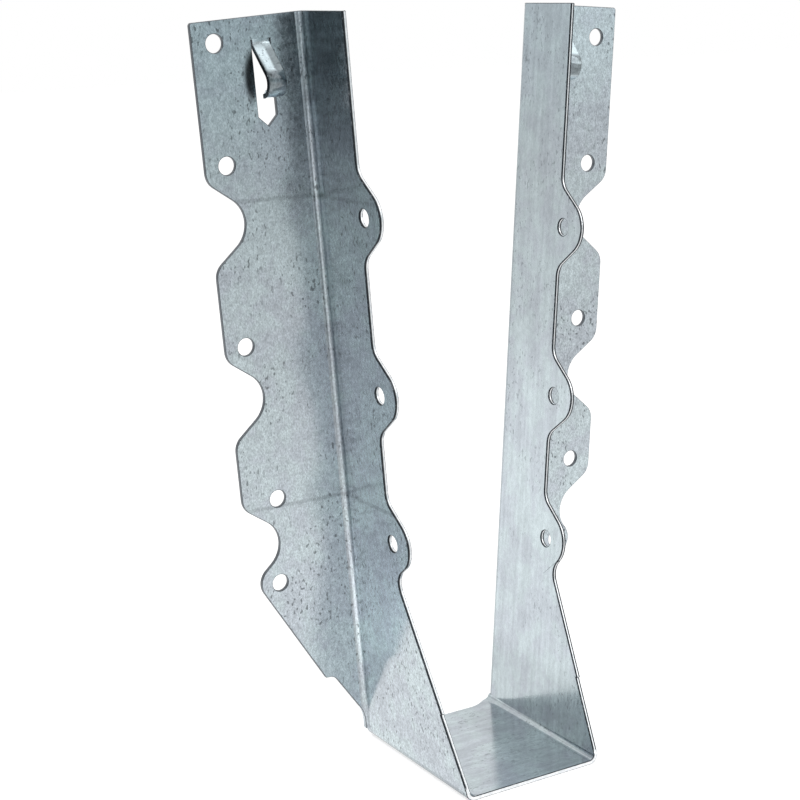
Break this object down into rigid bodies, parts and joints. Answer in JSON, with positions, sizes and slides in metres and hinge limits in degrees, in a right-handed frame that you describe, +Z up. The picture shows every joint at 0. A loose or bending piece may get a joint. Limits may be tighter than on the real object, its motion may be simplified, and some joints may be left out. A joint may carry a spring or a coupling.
{
  "type": "joist hanger",
  "caption": "Face-mount hanger folded from one galvanised sheet, with scalloped flanges, a seat for the joist's end, nail holes and speed prongs.",
  "frame": {"origin": "middle of the box round the hanger, at the seat's underside", "axes": "+Z up, along the hanger's height; +Y towards the header, whose face meets the flange backs at y = +25.4 mm; the joist comes in from -Y; +X to the right as seen from the front"},
  "size_m": [0.1298, 0.0508, 0.1979],
  "materials": {
    "galvanised_steel": "hot-dip galvanised, satin, faint rolling streaks"
  },
  "bodies": {
    "root": {"hanger": "galvanised_steel"}
  },
  "joints": []
}
